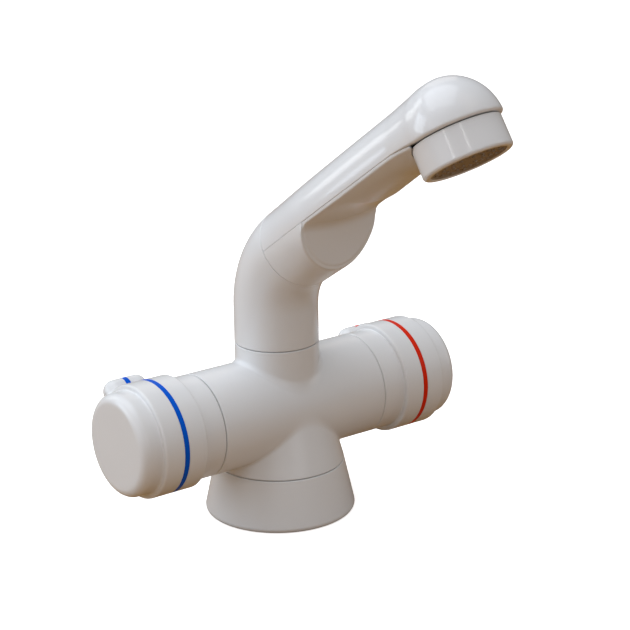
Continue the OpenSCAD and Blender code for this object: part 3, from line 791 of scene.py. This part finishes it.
WHITE = plastic("white_satin", (0.81, 0.815, 0.825), 0.24, grain=0.01)
GLOSS = plastic("white_gloss", (0.81, 0.815, 0.83), 0.15, grain=0.005)
BLUE = plastic("blue_ring", (0.0, 0.105, 0.68), 0.3, shine=0.06)
RED = plastic("red_ring", (0.76, 0.024, 0.004), 0.3, shine=0.08)
GREY = plastic("grey_moulding", (0.11, 0.115, 0.125), 0.45, 0.1)
TAN = plastic("spray_face", (0.30, 0.225, 0.15), 0.5, 0.15, 0.08)
RUBBER = plastic("black_rubber", (0.035, 0.034, 0.034), 0.65, 0.2, 0.1)
BRASS = metal("brass", (0.62, 0.44, 0.16), 0.28)
STEEL = metal("steel", (0.50, 0.51, 0.53), 0.3)
COPPER = metal("copper", (0.62, 0.30, 0.16), 0.25)
FINISH = {
    "white_plastic": WHITE, "grey_plastic": GREY, "spray_plate_plastic": TAN, "blue_plastic": BLUE,
    "red_plastic": RED, "brass": BRASS, "copper_pipe": COPPER, "steel": STEEL, "rubber": RUBBER,
}


def dress(piece, material, body, slot, *nodes):
    """A piece gets its material and the body it moves with, and the nodes it stands for are hidden. The slot
    argument is not used.
    """
    piece.data.materials.clear()
    piece.data.materials.append(material)
    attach(piece, body)
    if nodes:
        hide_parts(*nodes)


def dress_frame():
    """Every CAD node gets its slot's finish."""
    for part in frame["record"]["subparts"]:
        node = frame["nodes"][part["node"]]
        for place in node.material_slots:
            place.material = FINISH[part["material_slot"]]


# The studio.

FLOOR_HALF = 3.0
FLOOR_GLOW = 0.72
FLOOR_WARM = (0.325, 0.175, 0.056)
WORLD_STRENGTH = 0.48
WORLD_STOPS = (
    (0.0, (0.33, 0.28, 0.23)),
    (0.12, (0.41, 0.395, 0.385)),
    (0.5, (0.58, 0.60, 0.63)),
    (1.0, (0.93, 0.97, 1.0)),
)
LIT_POINT = Vector((0, -0.03, 0.08))


def make_floor():
    """A pale floor: it is white to the camera and throws warm light back on the object."""
    mesh = bpy.data.meshes.new("floor")
    half = FLOOR_HALF
    corners = [(-half, -half, 0), (half, -half, 0), (half, half, 0), (-half, half, 0)]
    mesh.from_pydata(corners, [], [(0, 1, 2, 3)])
    floor = bpy.data.objects.new("floor", mesh)
    bpy.context.scene.collection.objects.link(floor)
    material, tree, shader = new_material("pale_floor")
    shader.inputs["Base Color"].default_value = (0.9, 0.9, 0.9, 1)
    shader.inputs["Roughness"].default_value = 0.9
    shader.inputs["Specular IOR Level"].default_value = 0.0
    shader.inputs["Emission Color"].default_value = (1, 1, 1, 1)
    shader.inputs["Emission Strength"].default_value = FLOOR_GLOW
    warm = tree.nodes.new("ShaderNodeBsdfDiffuse")
    warm.inputs["Color"].default_value = (*FLOOR_WARM, 1)
    ray = tree.nodes.new("ShaderNodeLightPath")
    mix = tree.nodes.new("ShaderNodeMixShader")
    tree.links.new(ray.outputs["Is Camera Ray"], mix.inputs["Fac"])
    tree.links.new(warm.outputs["BSDF"], mix.inputs[1])
    tree.links.new(shader.outputs["BSDF"], mix.inputs[2])
    tree.links.new(mix.outputs["Shader"], tree.nodes["Material Output"].inputs["Surface"])
    mesh.materials.append(material)


def make_world():
    """A pale room that is brighter overhead; the camera sees plain white."""
    world = bpy.data.worlds.new("studio")
    bpy.context.scene.world = world
    world.use_nodes = True
    tree = world.node_tree
    back = tree.nodes["Background"]
    where = tree.nodes.new("ShaderNodeTexCoord")
    parts = tree.nodes.new("ShaderNodeSeparateXYZ")
    tree.links.new(where.outputs["Generated"], parts.inputs["Vector"])
    tree.links.new(ramp(tree, parts.outputs["Z"], WORLD_STOPS), back.inputs["Color"])
    back.inputs["Strength"].default_value = WORLD_STRENGTH
    plain = tree.nodes.new("ShaderNodeBackground")
    plain.inputs["Color"].default_value = (1, 1, 1, 1)
    ray = tree.nodes.new("ShaderNodeLightPath")
    mix = tree.nodes.new("ShaderNodeMixShader")
    tree.links.new(ray.outputs["Is Camera Ray"], mix.inputs["Fac"])
    tree.links.new(back.outputs["Background"], mix.inputs[1])
    tree.links.new(plain.outputs["Background"], mix.inputs[2])
    tree.links.new(mix.outputs["Shader"], tree.nodes["World Output"].inputs["Surface"])


def lamp_at(name, azimuth, elevation, distance, size, power, colour):
    """A lamp aimed at the object; azimuth nought is in front of it, positive to the hot side."""
    a, e = math.radians(azimuth), math.radians(elevation)
    way = Vector((math.sin(a) * math.cos(e), -math.cos(a) * math.cos(e), math.sin(e)))
    place = LIT_POINT + way * distance
    data = bpy.data.lights.new(name, "AREA")
    data.shape = "RECTANGLE"
    data.size, data.size_y = size
    data.energy = power
    data.color = colour
    lamp = bpy.data.objects.new(name, data)
    lamp.location = place
    lamp.rotation_mode = "QUATERNION"
    lamp.rotation_quaternion = (LIT_POINT - place).to_track_quat("-Z", "Y")
    bpy.context.scene.collection.objects.link(lamp)
    lamp.visible_camera = False


def make_lights():
    lamp_at("top_window", -140, 70, 0.95, (0.9, 0.9), 4.6, (0.91, 0.94, 1.0))
    lamp_at("side_window", -125, 15, 1.0, (0.5, 0.5), 3.05, (0.78, 0.89, 1.0))
    lamp_at("back_window", -160, 24, 1.0, (0.25, 0.5), 0.88, (0.96, 1.0, 1.0))
    lamp_at("back_right", 150, 35, 1.0, (0.5, 0.5), 0.45, (1.0, 0.84, 0.73))
    lamp_at("left_window", -90, 8, 1.0, (0.5, 0.75), 0.9, (0.89, 0.94, 1.0))
    lamp_at("front_fill", 0, 15, 1.0, (0.5, 0.5), 0.85, (0.90, 0.94, 1.0))
    lamp_at("front_low", -36, 10, 1.0, (0.5, 0.5), 0.42, (0.96, 0.98, 1.0))
    lamp_at("right_fill", 58, 14, 1.0, (0.3, 0.4), 0.62, (0.95, 0.95, 0.95))
    lamp_at("right_high", 30, 65, 1.0, (0.5, 0.5), 0.42, (1.0, 0.8, 0.6))
    lamp_at("left_streak", -69, 22, 0.9, (0.035, 0.3), 0.24, (1, 1, 1))
    lamp_at("front_streak", -28, 40, 0.9, (0.035, 0.25), 0.2, (1, 1, 1))


# The camera: degrees, metres and a focal length in pixels of the frame.
VIEW_AZIMUTH = -36.341
VIEW_ELEVATION = 17.965
VIEW_ROLL = -0.972
VIEW_DISTANCE = 0.83994
VIEW_SIDE = 0.015219
VIEW_HEIGHT = 0.080038
FOCAL_PIXELS = 2144.46
FRAME_PIXELS = 630
SENSOR_WIDTH = 36


def make_camera():
    data = bpy.data.cameras.new("camera")
    data.sensor_width = SENSOR_WIDTH
    data.lens = FOCAL_PIXELS / FRAME_PIXELS * data.sensor_width
    data.clip_start, data.clip_end = 0.05, 50
    camera = bpy.data.objects.new("camera", data)
    a, e = math.radians(VIEW_AZIMUTH), math.radians(VIEW_ELEVATION)
    back = Vector((math.sin(a) * math.cos(e), -math.cos(a) * math.cos(e), math.sin(e)))
    side = Vector((math.cos(a), math.sin(a), 0))
    place = side * VIEW_SIDE + Vector((0, 0, VIEW_HEIGHT)) + back * VIEW_DISTANCE
    level = Matrix((side, back.cross(side), back)).transposed()
    facing = level @ Matrix.Rotation(math.radians(VIEW_ROLL), 3, "Z")
    camera.matrix_world = Matrix.Translation(place) @ facing.to_4x4()
    bpy.context.scene.collection.objects.link(camera)
    bpy.context.scene.camera = camera


make_camera()
dress_frame()
dress(make_body(), WHITE, "tap_body", "white_plastic", "mixer_body")
dress(make_flange(), WHITE, "tap_body", "white_plastic", "base_flange")
for side, tint, tint_slot in (("cold", BLUE, "blue_plastic"), ("hot", RED, "red_plastic")):
    parts = make_knob(side)
    dress(parts["collar"], WHITE, f"{side}_knob", "white_plastic", f"{side}_knob_collar")
    dress(parts["ring"], tint, f"{side}_knob", tint_slot, f"{side}_index_ring")
    dress(parts["cap"], WHITE, f"{side}_knob", "white_plastic", f"{side}_knob_cap")
dress(make_elbow(), WHITE, "spout", "white_plastic", "swivel_elbow")
dress(make_upper(), GLOSS, "handset", "white_plastic", "handset_upper_shell")
dress(make_lower(), WHITE, "handset", "white_plastic", "handset_lower_shell")
dress(make_spray_ring(), GLOSS, "handset", "white_plastic", "spray_ring")
dress(make_spray_face(), TAN, "handset", "spray_plate_plastic", "spray_plate")
dress(make_gasket(), RUBBER, "handset", "rubber", "rim_gasket")
make_floor()
make_world()
make_lights()
bpy.context.scene.view_settings.view_transform = "Standard"
